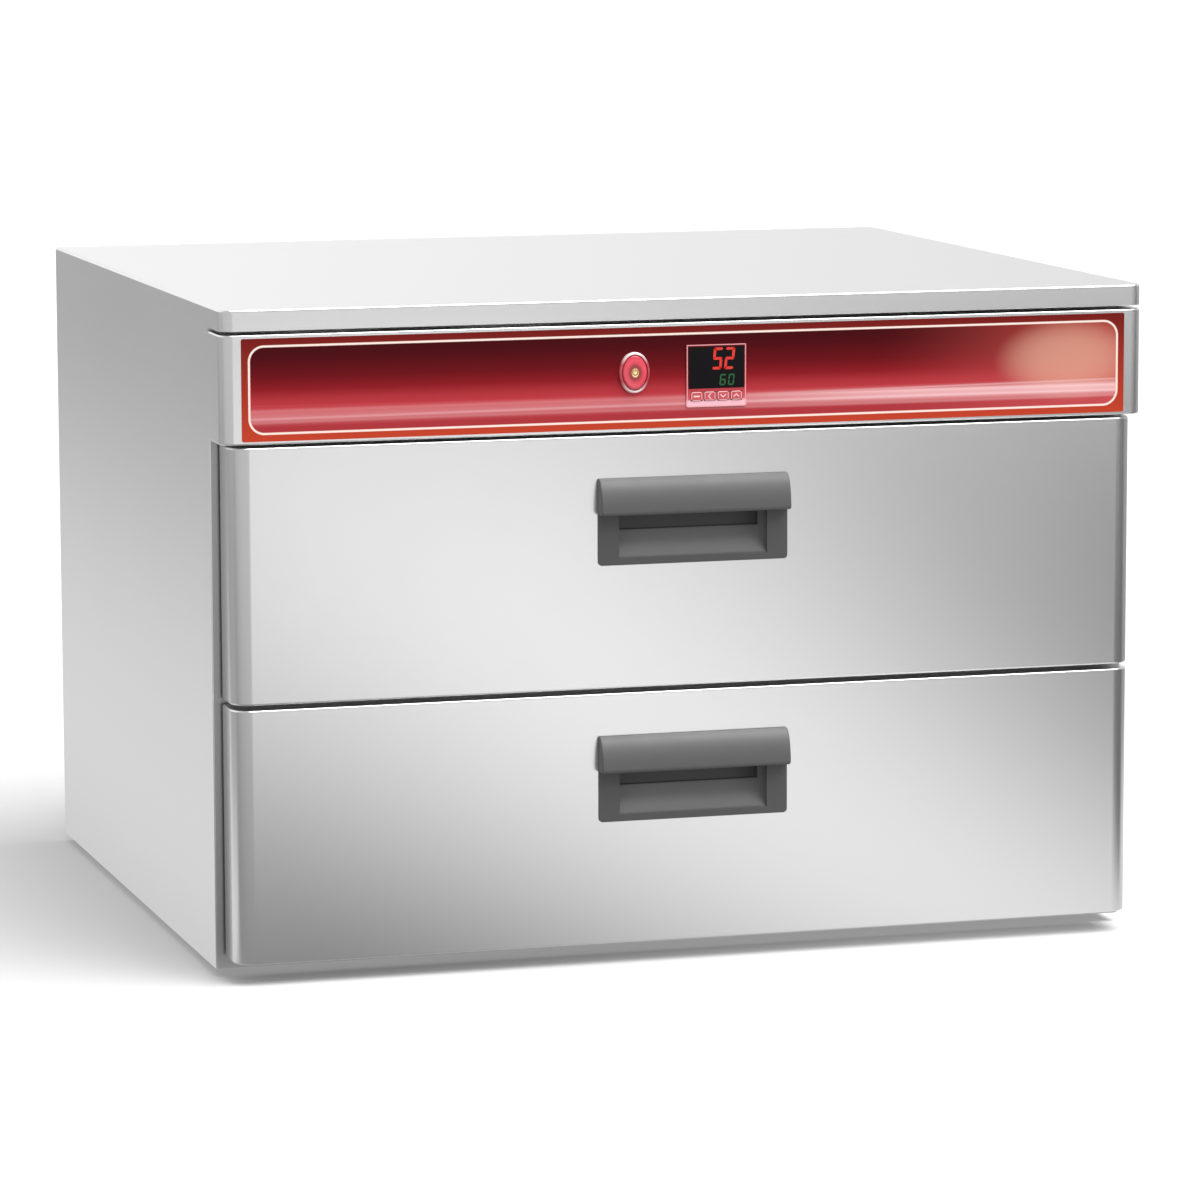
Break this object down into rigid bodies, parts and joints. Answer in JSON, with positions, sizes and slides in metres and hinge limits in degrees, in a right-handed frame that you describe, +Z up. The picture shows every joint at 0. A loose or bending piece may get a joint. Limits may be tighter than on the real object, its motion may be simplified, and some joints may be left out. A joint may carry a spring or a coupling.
{
  "type": "countertop warming drawer",
  "caption": "Countertop stainless warming unit with stacked insulated drawers on telescopic slides, recessed hooded pulls and a red control fascia with power button and temperature controller.",
  "frame": {"origin": "on the plane the rubber pads rest on, under the middle of the bounding box", "axes": "+Z up, -Y out of the drawer fronts, +X to the right seen from the front"},
  "size_m": [0.738, 0.6559, 0.515],
  "materials": {
    "stainless": "satin stainless sheet",
    "galvanised": "zinc-plated sheet",
    "element_sheath": "heat-darkened alloy sheath",
    "mineral_wool": "mineral wool slab",
    "red_film": "printed red film and moulding, shaded dark above and brighter below",
    "button_plastic": "translucent pinkish-red moulding",
    "lens": "smoked clear lens",
    "dark_plastic": "fine-textured dark grey moulding",
    "soft_rubber": "soft black rubber"
  },
  "bodies": {
    "cabinet": {"worktop_lid": "stainless", "left_side_panel": "stainless", "right_side_panel": "stainless", "back_panel": "stainless", "base_panel": "stainless", "front_frame": "stainless", "control_fascia": "stainless", "fascia_overlay": "red_film", "rubber_pads": "soft_rubber", "cabinet_screws": "stainless", "left_chamber_wall": "stainless", "right_chamber_wall": "stainless", "rear_chamber_wall": "stainless", "chamber_floor": "stainless", "chamber_ceiling": "stainless", "chamber_shelf": "stainless", "side_insulation": "mineral_wool", "rear_insulation": "mineral_wool", "top_insulation": "mineral_wool", "base_insulation": "mineral_wool", "control_tray": "galvanised", "upper_heating_element": "element_sheath", "lower_heating_element": "element_sheath", "temperature_probe": "stainless", "safety_cutout": "galvanised", "heater_relay": "dark_plastic", "terminal_block": "dark_plastic", "power_inlet": "dark_plastic", "controller_case": "red_film", "controller_window": "lens", "controller_clamp": "dark_plastic", "switch_housing": "button_plastic", "upper_slide_outer": "galvanised", "lower_slide_outer": "galvanised"},
    "upper_drawer": {"upper_drawer_front": "stainless", "upper_drawer_core": "mineral_wool", "upper_drawer_back": "stainless", "upper_drawer_gasket": "soft_rubber", "upper_pull_handle": "dark_plastic", "upper_pan_carrier": "stainless", "upper_slide_inner": "galvanised", "upper_left_pan": "stainless", "upper_right_pan": "stainless"},
    "upper_slide_members": {"upper_slide_middle": "galvanised"},
    "lower_drawer": {"lower_drawer_front": "stainless", "lower_drawer_core": "mineral_wool", "lower_drawer_back": "stainless", "lower_drawer_gasket": "soft_rubber", "lower_pull_handle": "dark_plastic", "lower_pan_carrier": "stainless", "lower_slide_inner": "galvanised", "lower_left_pan": "stainless", "lower_right_pan": "stainless"},
    "lower_slide_members": {"lower_slide_middle": "galvanised"},
    "power_button_cap": {"power_button": "button_plastic"},
    "mode_key_cap": {"mode_key": "red_film"},
    "left_key_cap": {"left_key": "red_film"},
    "down_key_cap": {"down_key": "red_film"},
    "up_key_cap": {"up_key": "red_film"}
  },
  "joints": [
    {"name": "upper_drawer_slide", "type": "slide", "parent": "cabinet", "child": "upper_drawer", "axis": [0, -1, 0], "range_m": [0, 0.54]},
    {"name": "upper_middle_slide", "type": "slide", "parent": "cabinet", "child": "upper_slide_members", "axis": [0, -1, 0], "range_m": [0, 0.27]},
    {"name": "lower_drawer_slide", "type": "slide", "parent": "cabinet", "child": "lower_drawer", "axis": [0, -1, 0], "range_m": [0, 0.54]},
    {"name": "lower_middle_slide", "type": "slide", "parent": "cabinet", "child": "lower_slide_members", "axis": [0, -1, 0], "range_m": [0, 0.27]},
    {"name": "power_button_press", "type": "slide", "parent": "cabinet", "child": "power_button_cap", "axis": [0, 1, 0], "range_m": [0, 0.0025], "stiffness_N_per_m": 600},
    {"name": "mode_key_press", "type": "slide", "parent": "cabinet", "child": "mode_key_cap", "axis": [0, 1, 0], "range_m": [0, 0.0005], "stiffness_N_per_m": 400},
    {"name": "left_key_press", "type": "slide", "parent": "cabinet", "child": "left_key_cap", "axis": [0, 1, 0], "range_m": [0, 0.0005], "stiffness_N_per_m": 400},
    {"name": "down_key_press", "type": "slide", "parent": "cabinet", "child": "down_key_cap", "axis": [0, 1, 0], "range_m": [0, 0.0005], "stiffness_N_per_m": 400},
    {"name": "up_key_press", "type": "slide", "parent": "cabinet", "child": "up_key_cap", "axis": [0, 1, 0], "range_m": [0, 0.0005], "stiffness_N_per_m": 400}
  ],
  "couplings": [
    {"joint": "upper_middle_slide", "follows": "upper_drawer_slide", "ratio": 0.5},
    {"joint": "lower_middle_slide", "follows": "lower_drawer_slide", "ratio": 0.5}
  ]
}
